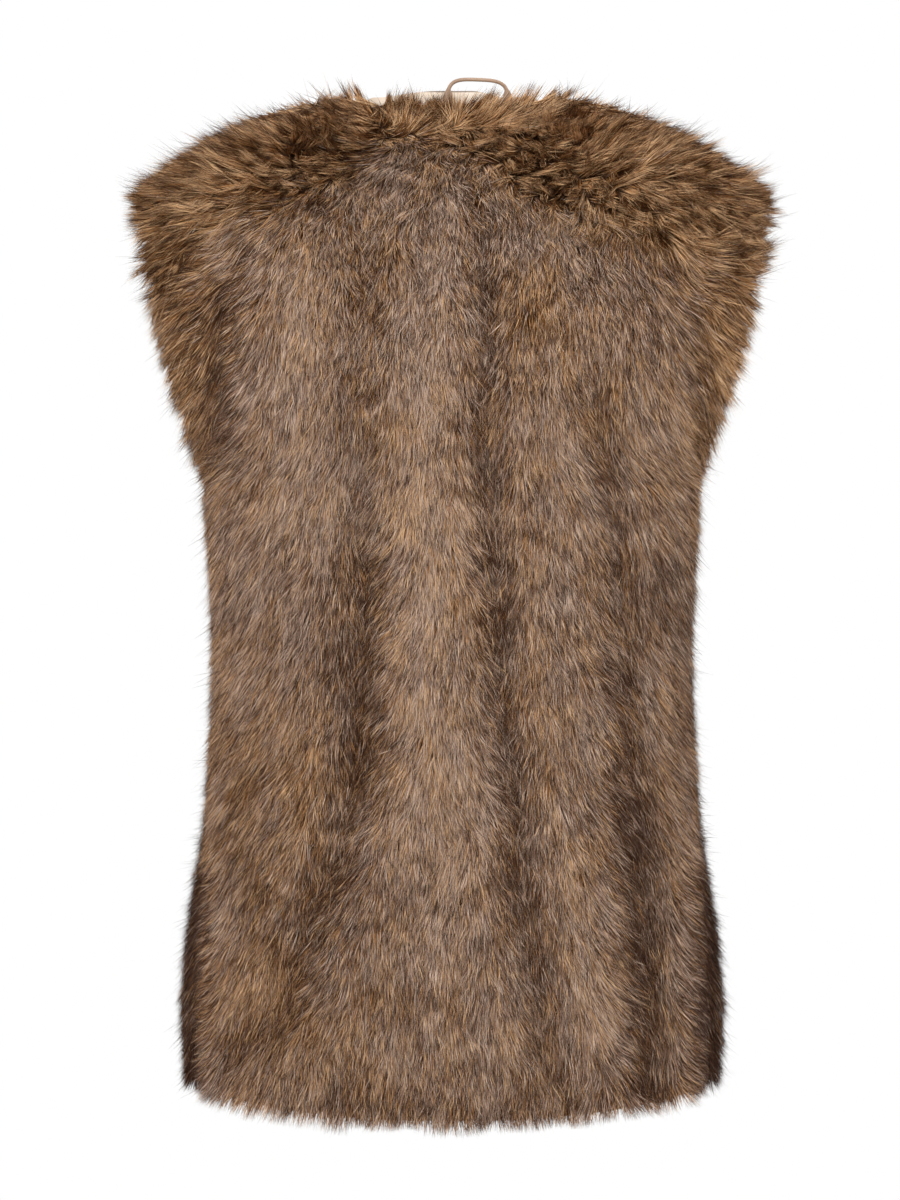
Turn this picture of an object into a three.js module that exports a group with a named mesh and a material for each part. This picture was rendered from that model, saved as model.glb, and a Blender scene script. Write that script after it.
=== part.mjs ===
// A sleeveless open-front vest of long-pile faux fur, filled out as if it were worn.
// Units are millimetres. +Z is up, -Y points out of the wearer's back and +X to the wearer's right.
// The origin lies between the shoulders, at the height where the neck meets them.
// Each fur panel is a wall: a smooth cloth backing inside, and the reach of the pile outside.
import * as THREE from "three";

// The grid of a panel's points
const ROW_STEP = 17; // height of one row
const BACK_COLUMNS = 18; // across half of the back
const FRONT_COLUMNS = 18; // across one front
const EDGE_SHARE = 0.03; // share of a panel's width in the narrow column beside an edge
const EDGE_ROW = 6; // height of the narrow row beside the hem and the top

// The rings' corners: how square they are, and how far the handle at an edge follows the width
const FULLNESS = 0.6;
const EDGE_FULLNESS = 0.4;

// Seams and free edges
const SEAM_GAP = 0.4; // between two panels that are sewn together
const SEAM_PILE = { at: 0.8, beside: 0.92 }; // share of the pile's height at a seam
const SEAM_TURN = 30; // the pile turns to a seam's own direction within this distance
const RIM_PILE = { at: 0.34, beside: 0.86 }; // share of the pile's height at a free edge
const OVERHANG = { at: 7, beside: 0.25 }; // reach past a free edge, and the next row's share of it
const OPENING_OVERHANG = 0.7; // share of that reach along the front opening
const UNDERARM_FADE = 45; // height in which it grows above the underarm
const LOCK_DEPTH = 2.2; // relief of the fur's locks

// Shoulder seam and neckline of the cloth backing
const NECK = { half: 72, z: -11 };
const TIP = { half: 221, z: -77 };
const SHOULDER_ARCH = 13;
const BACK_NECK = { depth: 60, z: -27 };
const NECK_SHARE = 5 / BACK_COLUMNS; // share of the half back that ends at the neckline
const TOP_PILE = 15;

// How far the walls bulge on their way over the shoulder, as a share of the straight distance
const BULGE = { neck: 0.07, tip: 0.2, front: 0.13 };

// Rings of the body from the hem to the shoulder blades, one row each.
// z: height at the side; edge: half width at the side seam or armhole; backEdge and frontEdge: how far
// forward the back and the front end there; back and front: depth at centre back and centre front;
// flare: how far a front swells past the seam; open: half the front opening; turn: degrees by which
// a ring has turned when it ends; dip: how much lower the middle of the back hangs; pile: fur height
const RINGS = [
  { z: -716, edge: 170, backEdge: -30, frontEdge: -30, back: -111, front: 104, flare: 58, open: 8.5, turn: 90, dip: 11, pile: 13 },
  { z: -655, edge: 171, backEdge: -31, frontEdge: -31, back: -113, front: 107, flare: 62, open: 8.5, turn: 90, dip: 6, pile: 14 },
  { z: -575, edge: 169, backEdge: -24, frontEdge: -24, back: -112, front: 110, flare: 40, open: 8.5, turn: 90, dip: 4, pile: 14 },
  { z: -505, edge: 166, backEdge: -12, frontEdge: -12, back: -109, front: 111, flare: 4, open: 8.5, turn: 90, dip: 2, pile: 14 },
  { z: -415, edge: 163, backEdge: -4, frontEdge: -4, back: -107, front: 112, flare: 0, open: 8.5, turn: 90, dip: 0, pile: 14 },
  { z: -330, edge: 167, backEdge: 0, frontEdge: 0, back: -112, front: 119, flare: 0, open: 9, turn: 90, dip: 0, pile: 15 },
  { z: -284, edge: 170, backEdge: 0, frontEdge: 0, back: -116, front: 121, flare: 0, open: 11, turn: 84, dip: 0, pile: 15 },
  { z: -258, edge: 177, backEdge: -33, frontEdge: 36, back: -118, front: 119, flare: 0, open: 17, turn: 60, dip: 0, pile: 15 },
  { z: -210, edge: 192, backEdge: -52, frontEdge: 58, back: -119, front: 111, flare: 0, open: 31, turn: 46, dip: 0, pile: 16 },
  { z: -155, edge: 206, backEdge: -55, frontEdge: 60, back: -115, front: 94, flare: 0, open: 48, turn: 42, dip: 2, pile: 17 },
];
const UNDERARM = 6; // the ring at which the side seam ends and the armhole begins

// Troughs between the fur's ridges and at creases, each along a straight line: x and z of its two
// ends, then its half width and depth
const BACK_TROUGHS = [
  { x0: -57, z0: -330, x1: -60, z1: -505, width: 20, depth: 5 },
  { x0: -60, z0: -505, x1: -128, z1: -660, width: 24, depth: 5 },
  { x0: 22, z0: -130, x1: 26, z1: -300, width: 14, depth: 4 },
  { x0: 26, z0: -300, x1: 44, z1: -560, width: 18, depth: 5 },
  { x0: 44, z0: -560, x1: 68, z1: -700, width: 22, depth: 4 },
  { x0: 94, z0: -220, x1: 120, z1: -430, width: 17, depth: 5 },
  { x0: 136, z0: -580, x1: 130, z1: -700, width: 20, depth: 7 },
  { x0: 164, z0: -165, x1: 170, z1: -268, width: 13, depth: 7 },
  { x0: -158, z0: -175, x1: -166, z1: -262, width: 13, depth: 6 },
];
const FRONT_TROUGHS = [
  { x0: 66, z0: -190, x1: 60, z1: -420, width: 18, depth: 5 },
  { x0: 60, z0: -420, x1: 84, z1: -690, width: 20, depth: 4 },
  { x0: 122, z0: -330, x1: 136, z1: -600, width: 20, depth: 5 },
  { x0: 160, z0: -175, x1: 164, z1: -262, width: 13, depth: 6 },
];
const TROUGH_FADE = 6; // power by which troughs end before the side edges

// Facing of the back neck: columns of the back on each side of the middle, rows down from the
// neckline, and how far it rises above it
const FACING = { columns: 4, rows: 3, rise: 10.5, thick: 1.2, gap: 0.55 };

// Hanger loop: the places of its feet, how far above the neckline they end, its top, its roundness
// and its sizes as a tube and where it is pressed flat
const LOOP = { left: -3, right: 39, lift: 10, top: -6.5, corner: 0.62, gap: 0.4, sides: 10, steps: 40 };
const LOOP_TUBE = { wide: 1.5, thick: 1.5 };
const LOOP_FOOT = { wide: 3.2, thick: 0.75, from: 0.05, to: 0.45 };

const SAME = 1e-6; // two heights closer than this are one
const lerp = THREE.MathUtils.lerp;
const smoothstep = THREE.MathUtils.smoothstep;
const countTo = (last) => Array.from({ length: last + 1 }, (_, k) => k);

// A point of a cubic Bezier through four points of a plan, [x, y] each.
function bezier(a, b, c, d, t) {
  const u = 1 - t;
  const mix = (k) => u * u * u * a[k] + 3 * u * u * t * b[k] + 3 * u * t * t * c[k] + t * t * t * d[k];
  return [mix(0), mix(1)];
}

// The handle with which a ring ends at the side, turned by its angle.
function endHandle(depth, width, degrees) {
  const turned = THREE.MathUtils.degToRad(degrees);
  const length = FULLNESS * depth * Math.sin(turned) + EDGE_FULLNESS * width * Math.cos(turned);
  return [length * Math.cos(turned), length * Math.sin(turned)];
}

// A ring of the back, at s from -1 on the left to 1 on the right.
function backRing(ring, s) {
  const [alongX, alongY] = endHandle(ring.backEdge - ring.back, ring.edge, ring.turn);
  const afterMiddle = [FULLNESS * ring.edge, ring.back];
  const beforeEdge = [ring.edge - alongX, ring.backEdge - alongY];
  const share = Math.abs(s);
  const [x, y] = bezier([0, ring.back], afterMiddle, beforeEdge, [ring.edge, ring.backEdge], share);
  const lower = ring.dip * Math.cos((share * Math.PI) / 2) ** 2;
  return new THREE.Vector3(Math.sign(s) * x, y, ring.z - lower);
}

// A ring of the right front, at s from 0 at the side to 1 at the front opening.
function frontRing(ring, s) {
  const [alongX, alongY] = endHandle(ring.front - ring.frontEdge, ring.edge, ring.turn);
  const afterEdge = [ring.edge - alongX + ring.flare, ring.frontEdge + alongY];
  const beforeOpening = [ring.open + FULLNESS * (ring.edge - ring.open), ring.front];
  const [x, y] = bezier([ring.edge, ring.frontEdge], afterEdge, beforeOpening, [ring.open, ring.front], s);
  return new THREE.Vector3(x, y, ring.z);
}

// The shoulder seam, from the neck at 0 to the shoulder's tip at 1. It lies in the plane y = 0.
function shoulderSeam(w) {
  const z = lerp(NECK.z, TIP.z, w) + 4 * SHOULDER_ARCH * w * (1 - w);
  return new THREE.Vector3(lerp(NECK.half, TIP.half, w), 0, z);
}

// The direction across the shoulder seam, out of the vest and in the plane y = 0.
function shoulderNormal(x) {
  const w = THREE.MathUtils.clamp((Math.abs(x) - NECK.half) / (TIP.half - NECK.half), 0, 1);
  const slope = (TIP.z - NECK.z + 4 * SHOULDER_ARCH * (1 - 2 * w)) / (TIP.half - NECK.half);
  return new THREE.Vector3(-slope * Math.sign(x), 0, 1).normalize();
}

// The back neckline, half an ellipse in plan, by the angle from its middle.
function backNeckline(angle) {
  const z = lerp(BACK_NECK.z, NECK.z, 1 - Math.cos(angle));
  return new THREE.Vector3(NECK.half * Math.sin(angle), -BACK_NECK.depth * Math.cos(angle), z);
}

// The top of the back: the neckline in the middle and a shoulder seam on each side.
function backTop(s) {
  if (Math.abs(s) < NECK_SHARE) return backNeckline(((s / NECK_SHARE) * Math.PI) / 2);
  const seam = shoulderSeam((Math.abs(s) - NECK_SHARE) / (1 - NECK_SHARE));
  seam.x *= Math.sign(s);
  return seam;
}

// The point half way over the shoulder: the middle of a chord, pushed out of it in the y-z plane.
function overShoulder(low, high, bulge) {
  const chord = high.clone().sub(low);
  const out = new THREE.Vector3(0, chord.z * Math.sign(low.y), Math.abs(chord.y));
  return low.clone().add(high).multiplyScalar(0.5).addScaledVector(out, bulge);
}

// A column is one point on each ring, one half way over the shoulder and one at the top.
function backColumn(s) {
  const points = RINGS.map((ring) => backRing(ring, s));
  const bulge = lerp(BULGE.neck, BULGE.tip, smoothstep(Math.abs(s), 0, 0.7));
  points.push(overShoulder(points.at(-1), backTop(s), bulge), backTop(s));
  return points;
}

function frontColumn(s) {
  const points = RINGS.map((ring) => frontRing(ring, s));
  const top = shoulderSeam(1 - s);
  points.push(overShoulder(points.at(-1), top, lerp(BULGE.tip, BULGE.front, s)), top);
  return points;
}

// Heights of a column's points, in millimetres of cloth, which every column shares.
const KNOTS = [0];
backColumn(0.6).forEach((point, k, all) => {
  if (k > 0) KNOTS.push(KNOTS[k - 1] + point.distanceTo(all[k - 1]));
});
const TOP = KNOTS.at(-1);
const PILES = [...RINGS.map((ring) => ring.pile), TOP_PILE + 2, TOP_PILE];

// Rows pass through every knot, with a narrow row beside the hem and one below the top.
function rowHeights() {
  const rows = [0, EDGE_ROW];
  for (let k = 1; k < KNOTS.length; k++) {
    const span = KNOTS[k] - KNOTS[k - 1];
    const count = Math.max(1, Math.round(span / ROW_STEP));
    for (let n = 1; n <= count; n++) {
      rows.push(KNOTS[k - 1] + (span * n) / count);
    }
  }
  rows.splice(-1, 0, TOP - EDGE_ROW);
  return rows;
}

const ROWS = rowHeights();
const LAST_ROW = ROWS.length - 1;

// Which knot a height lies above.
const knotBelow = (height) => Math.min(KNOTS.findLastIndex((knot) => knot <= height + SAME), KNOTS.length - 2);

// A cubic Hermite curve through a column's points. The underarm is a corner: below it the curve
// follows the side seam, and above it the armhole.
function pointAt(points, height) {
  const k = knotBelow(height);
  const last = KNOTS.length - 1;
  const slope = (i, from, to) => {
    const [low, high] = [i === UNDERARM ? from : i - 1, i === UNDERARM ? to : i + 1];
    const [a, b] = [Math.max(low, 0), Math.min(high, last)];
    return points[b].clone().sub(points[a]).divideScalar(KNOTS[b] - KNOTS[a]);
  };
  const span = KNOTS[k + 1] - KNOTS[k];
  const t = (height - KNOTS[k]) / span;
  return points[k].clone().multiplyScalar(2 * t ** 3 - 3 * t ** 2 + 1)
    .addScaledVector(slope(k, k, k + 1), span * (t ** 3 - 2 * t ** 2 + t))
    .addScaledVector(points[k + 1], 3 * t ** 2 - 2 * t ** 3)
    .addScaledVector(slope(k + 1, k, k + 1), span * (t ** 3 - t ** 2));
}

function pileHeight(height) {
  const k = knotBelow(height);
  return lerp(PILES[k], PILES[k + 1], (height - KNOTS[k]) / (KNOTS[k + 1] - KNOTS[k]));
}

// How deep the troughs press a panel in at a point.
function troughDepth(point, troughs) {
  let depth = 0;
  for (const { x0, z0, x1, z1, width, depth: deepest } of troughs) {
    const [dx, dz] = [x1 - x0, z1 - z0];
    const share = ((point.x - x0) * dx + (point.z - z0) * dz) / (dx * dx + dz * dz);
    const near = THREE.MathUtils.clamp(share, 0, 1);
    const away = Math.hypot(point.x - x0 - near * dx, point.z - z0 - near * dz);
    depth = Math.max(depth, deepest * Math.exp(-((away / width) ** 2)));
  }
  return depth;
}

// The cloth of a panel: one column of points for each share of its width.
function clothGrid({ shares, column, troughs, sideness }) {
  return shares.map((s) => {
    const points = column(s);
    return ROWS.map((height) => {
      const point = pointAt(points, height);
      const pressed = troughDepth(point, troughs) * (1 - sideness(s) ** TROUGH_FADE);
      point.y -= Math.sign(point.y) * pressed;
      return point;
    });
  });
}

// Outward normals of a grid, from each point's neighbours across and up.
function gridNormals(grid) {
  return grid.map((column, i) =>
    column.map((_, j) => {
      const across = grid[Math.min(i + 1, grid.length - 1)][j].clone().sub(grid[Math.max(i - 1, 0)][j]);
      const up = column[Math.min(j + 1, LAST_ROW)].clone().sub(column[Math.max(j - 1, 0)]);
      return across.cross(up).normalize();
    }),
  );
}

// Relief of the fur's locks: uneven waves, longer along the nap than across it.
function lockRelief(across, up) {
  const lane = Math.sin(across / 5.6 + 1.7 * Math.sin(up / 37));
  const lap = Math.sin(up / 9.3 + 2.3 * Math.sin(across / 14.3));
  return LOCK_DEPTH * (0.65 * lane * lap + 0.35 * Math.sin(across / 11 - up / 29));
}

// How far the locks hang past a free edge, from place to place along it.
function lockOverhang(place) {
  return OVERHANG.at + LOCK_DEPTH * (Math.sin(place * 1.9) + 0.6 * Math.sin(place * 0.83 + 1));
}

const directionTo = (point, inner) => point.clone().sub(inner).normalize();

// A side edge of a panel at one row. It is the front opening, or else a seam up to the underarm and
// the armhole above it. A seam gives the direction of its pile, and a free edge its overhang.
function sideEdge(cloth, j, index, inner, isOpening) {
  const aboveUnderarm = ROWS[j] - KNOTS[UNDERARM];
  if (!isOpening && aboveUnderarm < SAME) {
    return { seam: new THREE.Vector3(Math.sign(cloth[index][0].x), 0, 0) };
  }
  const room = isOpening ? OPENING_OVERHANG : smoothstep(aboveUnderarm, 0, UNDERARM_FADE);
  return { outward: directionTo(cloth[index][j], cloth[inner][j]), reach: room * lockOverhang(j) };
}

function hemEdge(cloth, i) {
  return { outward: directionTo(cloth[i][0], cloth[i][1]), reach: lockOverhang(i) };
}

function topEdge(cloth, i, isNeckline) {
  if (!isNeckline) return { seam: shoulderNormal(cloth[i][LAST_ROW].x) };
  return { outward: directionTo(cloth[i][LAST_ROW], cloth[i][LAST_ROW - 1]), reach: lockOverhang(i) };
}

// The four edges around a point, each with the steps and the distance to it.
function edgesAround(panel, i, j) {
  const { cloth, shares, opensAtEnd, isNeckline } = panel;
  const last = cloth.length - 1;
  const distance = (a, b) => cloth[i][j].distanceTo(cloth[a][b]);
  return [
    { steps: i, distance: distance(0, j), ...sideEdge(cloth, j, 0, 1, false) },
    { steps: last - i, distance: distance(last, j), ...sideEdge(cloth, j, last, last - 1, opensAtEnd) },
    { steps: j, distance: ROWS[j], ...hemEdge(cloth, i) },
    { steps: LAST_ROW - j, distance: TOP - ROWS[j], ...topEdge(cloth, i, isNeckline(shares[i])) },
  ];
}

// An outer point of a panel: the cloth's point moved out by the pile, which lies lower and turns to a
// shared direction at seams, and is rounded down at free edges and overhangs them.
function pilePoint(panel, i, j) {
  const normal = panel.normals[i][j].clone();
  const moved = panel.cloth[i][j].clone();
  let share = 1;
  for (const { steps, distance, seam, outward, reach } of edgesAround(panel, i, j)) {
    if (seam) {
      normal.lerp(seam, 1 - smoothstep(distance, 0, SEAM_TURN)).normalize();
      if (steps < 2) share = Math.min(share, steps ? SEAM_PILE.beside : SEAM_PILE.at);
    } else if (steps < 2) {
      share *= steps ? RIM_PILE.beside : RIM_PILE.at;
      moved.addScaledVector(outward, reach * (steps ? OVERHANG.beside : 1));
    }
  }
  const inside = i > 0 && i < panel.cloth.length - 1 && j > 0 && j < LAST_ROW;
  const relief = inside ? lockRelief(9 * i + panel.lockStart, ROWS[j]) * (share > 0.95 ? 1 : 0.4) : 0;
  return moved.addScaledVector(normal, pileHeight(ROWS[j]) * share + relief);
}

// The indices that an inner grid keeps: both ends, every second one, and those that keep names.
function thinned(last, keep) {
  return countTo(last).filter((k) => k === last || k % 2 === 0 || keep(k));
}

// Closes two grids, outer and inner, into one wall. The inner one keeps only some of the columns and
// rows, and a rim of fans joins the two all around. mirrored gives the wall of the other side.
function wallGeometry(outer, inner, keptColumns, keptRows, mirrored) {
  const [lastI, lastJ] = [outer.length - 1, outer[0].length - 1];
  const positions = [];
  const index = [];
  const add = (point) => positions.push(mirrored ? -point.x : point.x, point.y, point.z) / 3 - 1;
  const outerIds = outer.map((column) => column.map(add));
  const innerIds = inner.map((column, i) =>
    column.map((point, j) => (keptColumns.includes(i) && keptRows.includes(j) ? add(point) : -1)),
  );
  const face = (corners, turned) => index.push(...(turned === mirrored ? corners : corners.reverse()));
  const sheet = (ids, columns, rows, turned) => {
    for (let m = 1; m < columns.length; m++) {
      for (let n = 1; n < rows.length; n++) {
        const [i, p, j, q] = [columns[m - 1], columns[m], rows[n - 1], rows[n]];
        face([ids[i][j], ids[p][j], ids[p][q]], turned);
        face([ids[i][j], ids[p][q], ids[i][q]], turned);
      }
    }
  };
  const rim = (kept, at, turned) => {
    const [outerId, innerId] = [outerIds, innerIds].map((ids) => (k) => ids[at(k)[0]][at(k)[1]]);
    for (let m = 1; m < kept.length; m++) {
      const [from, to] = [kept[m - 1], kept[m]];
      for (let k = from; k < to; k++) {
        face([innerId(from), outerId(k), outerId(k + 1)], turned);
      }
      face([innerId(from), outerId(to), innerId(to)], turned);
    }
  };
  sheet(outerIds, countTo(lastI), countTo(lastJ), false);
  sheet(innerIds, keptColumns, keptRows, true);
  rim(keptColumns, (k) => [k, 0], true);
  rim(keptColumns, (k) => [k, lastJ], false);
  rim(keptRows, (k) => [0, k], false);
  rim(keptRows, (k) => [lastI, k], true);
  return meshGeometry(positions, index);
}

function meshGeometry(positions, index) {
  const geometry = new THREE.BufferGeometry();
  geometry.setAttribute("position", new THREE.Float32BufferAttribute(positions, 3));
  geometry.setIndex(index);
  geometry.computeVertexNormals();
  return geometry;
}

function namedMesh(name, geometry, material) {
  const made = new THREE.Mesh(geometry, material);
  made.name = name;
  return made;
}

// Shares of a panel's width from 0 to 1, with a narrow column beside the end.
function columnShares(count) {
  const shares = countTo(count).map((n) => n / count);
  shares.splice(-1, 0, 1 - EDGE_SHARE);
  return shares;
}

// A panel with its cloth, its normals and the columns and rows that its inner side keeps.
function makePanel(plan) {
  const cloth = clothGrid(plan);
  const underarmRow = ROWS.findIndex((height) => Math.abs(height - KNOTS[UNDERARM]) < SAME);
  const keptColumns = thinned(plan.shares.length - 1, plan.keepColumn);
  const keptRows = thinned(LAST_ROW, (j) => j === underarmRow);
  return { ...plan, cloth, normals: gridNormals(cloth), keptColumns, keptRows };
}

function panelMesh(name, panel, mirrored) {
  const outer = panel.cloth.map((column, i) => column.map((_, j) => pilePoint(panel, i, j)));
  const geometry = wallGeometry(outer, panel.cloth, panel.keptColumns, panel.keptRows, mirrored);
  const made = namedMesh(name, geometry, fur);
  made.position.y = panel.seamShift;
  return made;
}

const fur = new THREE.MeshStandardMaterial({ color: 0x7d654f, roughness: 0.95, metalness: 0 });
const satin = new THREE.MeshStandardMaterial({ color: 0xbba894, roughness: 0.4, metalness: 0 });
const loopSatin = new THREE.MeshStandardMaterial({ color: 0x8f745c, roughness: 0.45, metalness: 0 });

const halfShares = columnShares(BACK_COLUMNS);
const backShares = [...halfShares.slice(1).reverse().map((s) => -s), ...halfShares];
const backPanel = makePanel({
  shares: backShares,
  column: backColumn,
  troughs: BACK_TROUGHS,
  sideness: (s) => Math.abs(s),
  opensAtEnd: false,
  isNeckline: (s) => Math.abs(s) < NECK_SHARE - SAME,
  keepColumn: (i) => Math.abs(backShares[i]) < NECK_SHARE + 1 / BACK_COLUMNS + SAME,
  lockStart: -40,
  seamShift: -SEAM_GAP / 2,
});

const frontPanel = makePanel({
  shares: [0, EDGE_SHARE, ...columnShares(FRONT_COLUMNS).slice(1)],
  column: frontColumn,
  troughs: FRONT_TROUGHS,
  sideness: (s) => 1 - s,
  opensAtEnd: true,
  isNeckline: () => false,
  keepColumn: () => false,
  lockStart: 40,
  seamShift: SEAM_GAP / 2,
});

// The facing lies inside the back neck, on the back's own inner points. Above the neckline it stands
// upright, moved in along the level.
function makeFacing() {
  const isFaced = (i) => Math.abs(backShares[i]) * BACK_COLUMNS < FACING.columns + SAME;
  const columns = backPanel.keptColumns.filter(isFaced);
  const rows = backPanel.keptRows.slice(-FACING.rows - 1);
  const flatten = (BACK_NECK.depth / NECK.half) ** 2;
  const column = (i, inward) => {
    const top = backPanel.cloth[i][LAST_ROW];
    const level = new THREE.Vector3(top.x * flatten, top.y, 0).normalize();
    const strip = rows.map((j) => {
      const outward = j === LAST_ROW ? level : backPanel.normals[i][j];
      return backPanel.cloth[i][j].clone().addScaledVector(outward, -inward);
    });
    return [...strip, strip.at(-1).clone().setZ(top.z + FACING.rise)];
  };
  const outer = columns.map((i) => column(i, FACING.gap));
  const inner = columns.map((i) => column(i, FACING.gap + FACING.thick));
  const geometry = wallGeometry(outer, inner, countTo(columns.length - 1), countTo(rows.length), false);
  const made = namedMesh("back_neck_facing", geometry, satin);
  made.position.y = backPanel.seamShift;
  return made;
}

// The middle line of the hanger loop, an arch that follows the neckline in plan.
function loopLine() {
  const middle = (LOOP.left + LOOP.right) / 2;
  const reach = (LOOP.right - LOOP.left) / 2;
  const squared = (value) => Math.sign(value) * Math.abs(value) ** LOOP.corner;
  return countTo(LOOP.steps).map((n) => {
    const angle = Math.PI * (1 - n / LOOP.steps);
    const x = middle + reach * squared(Math.cos(angle));
    const seam = backNeckline(Math.asin(x / NECK.half));
    const z = lerp(seam.z + LOOP.lift, LOOP.top, squared(Math.sin(angle)));
    return new THREE.Vector3(x, seam.y + FACING.gap - LOOP.gap - LOOP_TUBE.thick, z);
  });
}

// The loop is a satin tube, round along its arch and pressed flat at its feet, which are sewn to the
// outer side of the facing just above the fur.
function makeLoop() {
  const line = loopLine();
  const forward = new THREE.Vector3(0, 1, 0);
  const rings = line.map((point, n) => {
    const ahead = directionTo(line[Math.min(n + 1, LOOP.steps)], line[Math.max(n - 1, 0)]);
    const side = ahead.clone().cross(forward).normalize();
    const front = side.clone().cross(ahead).normalize();
    const round = smoothstep(Math.sin((Math.PI * n) / LOOP.steps), LOOP_FOOT.from, LOOP_FOOT.to);
    const wide = lerp(LOOP_FOOT.wide, LOOP_TUBE.wide, round);
    const thick = lerp(LOOP_FOOT.thick, LOOP_TUBE.thick, round);
    return countTo(LOOP.sides - 1).map((k) => {
      const turn = (2 * Math.PI * k) / LOOP.sides;
      return point.clone().addScaledVector(side, wide * Math.cos(turn)).addScaledVector(front, thick * Math.sin(turn));
    });
  });
  const id = (n, k) => n * LOOP.sides + (k % LOOP.sides);
  const index = [];
  for (let n = 0; n < LOOP.steps; n++) {
    for (let k = 0; k < LOOP.sides; k++) {
      index.push(id(n, k), id(n + 1, k + 1), id(n, k + 1), id(n, k), id(n + 1, k), id(n + 1, k + 1));
    }
  }
  for (let k = 1; k < LOOP.sides - 1; k++) {
    index.push(id(0, 0), id(0, k), id(0, k + 1));
    index.push(id(LOOP.steps, 0), id(LOOP.steps, k + 1), id(LOOP.steps, k));
  }
  return namedMesh("hanger_loop", meshGeometry(rings.flat().flatMap((point) => point.toArray()), index), loopSatin);
}

const vest = new THREE.Group();
vest.add(panelMesh("back", backPanel, false));
vest.add(panelMesh("front_right", frontPanel, false));
vest.add(panelMesh("front_left", frontPanel, true));
vest.add(makeFacing());
vest.add(makeLoop());

export default vest;
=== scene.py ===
# The looks of the faux fur vest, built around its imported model.
# Shapes are worked out in millimetres in the model's frame: +Z up, -Y out of the wearer's back.
import math

import bpy
import numpy as np
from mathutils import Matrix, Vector


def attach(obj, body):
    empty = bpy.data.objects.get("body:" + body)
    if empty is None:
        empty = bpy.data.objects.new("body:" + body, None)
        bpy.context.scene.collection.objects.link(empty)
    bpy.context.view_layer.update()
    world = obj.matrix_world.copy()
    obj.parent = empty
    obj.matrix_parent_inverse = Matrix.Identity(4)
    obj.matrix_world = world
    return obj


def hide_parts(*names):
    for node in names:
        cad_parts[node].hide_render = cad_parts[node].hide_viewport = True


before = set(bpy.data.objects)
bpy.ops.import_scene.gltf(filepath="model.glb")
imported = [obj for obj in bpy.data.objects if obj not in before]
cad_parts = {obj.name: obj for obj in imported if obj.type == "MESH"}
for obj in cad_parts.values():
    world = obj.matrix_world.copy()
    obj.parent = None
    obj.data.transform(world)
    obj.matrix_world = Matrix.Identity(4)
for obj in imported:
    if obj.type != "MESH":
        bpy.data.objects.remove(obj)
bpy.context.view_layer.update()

# The back: one panel of faux fur, cut whole from hem to back neck and shoulder seams.
# Its cloth is knitted, smooth inside, and carries a dense short undercoat outside.
# It is built as a thin closed wall, pressed in along the soft troughs of the garment.
MM = 0.001
FULLNESS = 0.6
EDGE_FULLNESS = 0.4
NECK_HALF, NECK_Z = 72, -11
TIP_HALF, TIP_Z = 221, -77
SHOULDER_ARCH = 13
NECK_DEPTH, BACK_NECK_Z = 60, -27
NECK_SHARE = 5 / 18  # share of the half back that ends at the neckline
BULGE_NECK, BULGE_TIP, BULGE_FRONT = 0.07, 0.2, 0.13
SEAM_GAP = 0.4
TROUGH_FADE = 6
UNDERARM = 6  # the ring at which the side seams end

# Rings of the body from the hem up: height, half width at the edge, how far forward the back and
# the front end there, depth at centre back and centre front, flare of the front, half the opening,
# turn at the edge in degrees, and dip of the middle
RING_SIZES = "z edge back_edge front_edge back front flare open turn dip".split()
RING_ROWS = [
    (-716, 170, -30, -30, -111, 104, 58, 8.5, 90, 11),
    (-655, 171, -31, -31, -113, 107, 62, 8.5, 90, 6),
    (-575, 169, -24, -24, -112, 110, 40, 8.5, 90, 4),
    (-505, 166, -12, -12, -109, 111, 4, 8.5, 90, 2),
    (-415, 163, -4, -4, -107, 112, 0, 8.5, 90, 0),
    (-330, 167, 0, 0, -112, 119, 0, 9, 90, 0),
    (-284, 170, 0, 0, -116, 121, 0, 11, 84, 0),
    (-258, 177, -33, 36, -118, 119, 0, 17, 60, 0),
    (-210, 192, -52, 58, -119, 111, 0, 31, 46, 0),
    (-155, 206, -55, 60, -115, 94, 0, 48, 42, 2),
]
RINGS = {name: column[:, None] for name, column in zip(RING_SIZES, np.array(RING_ROWS, float).T)}

# Troughs of the back: x and z of each end, then half width and depth
BACK_TROUGHS = [
    (-57, -330, -60, -505, 20, 5),
    (-60, -505, -128, -660, 24, 5),
    (22, -130, 26, -300, 14, 4),
    (26, -300, 44, -560, 18, 5),
    (44, -560, 68, -700, 22, 4),
    (94, -220, 120, -430, 17, 5),
    (136, -580, 130, -700, 20, 7),
    (164, -165, 170, -268, 13, 7),
    (-158, -175, -166, -262, 13, 6),
]

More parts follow.
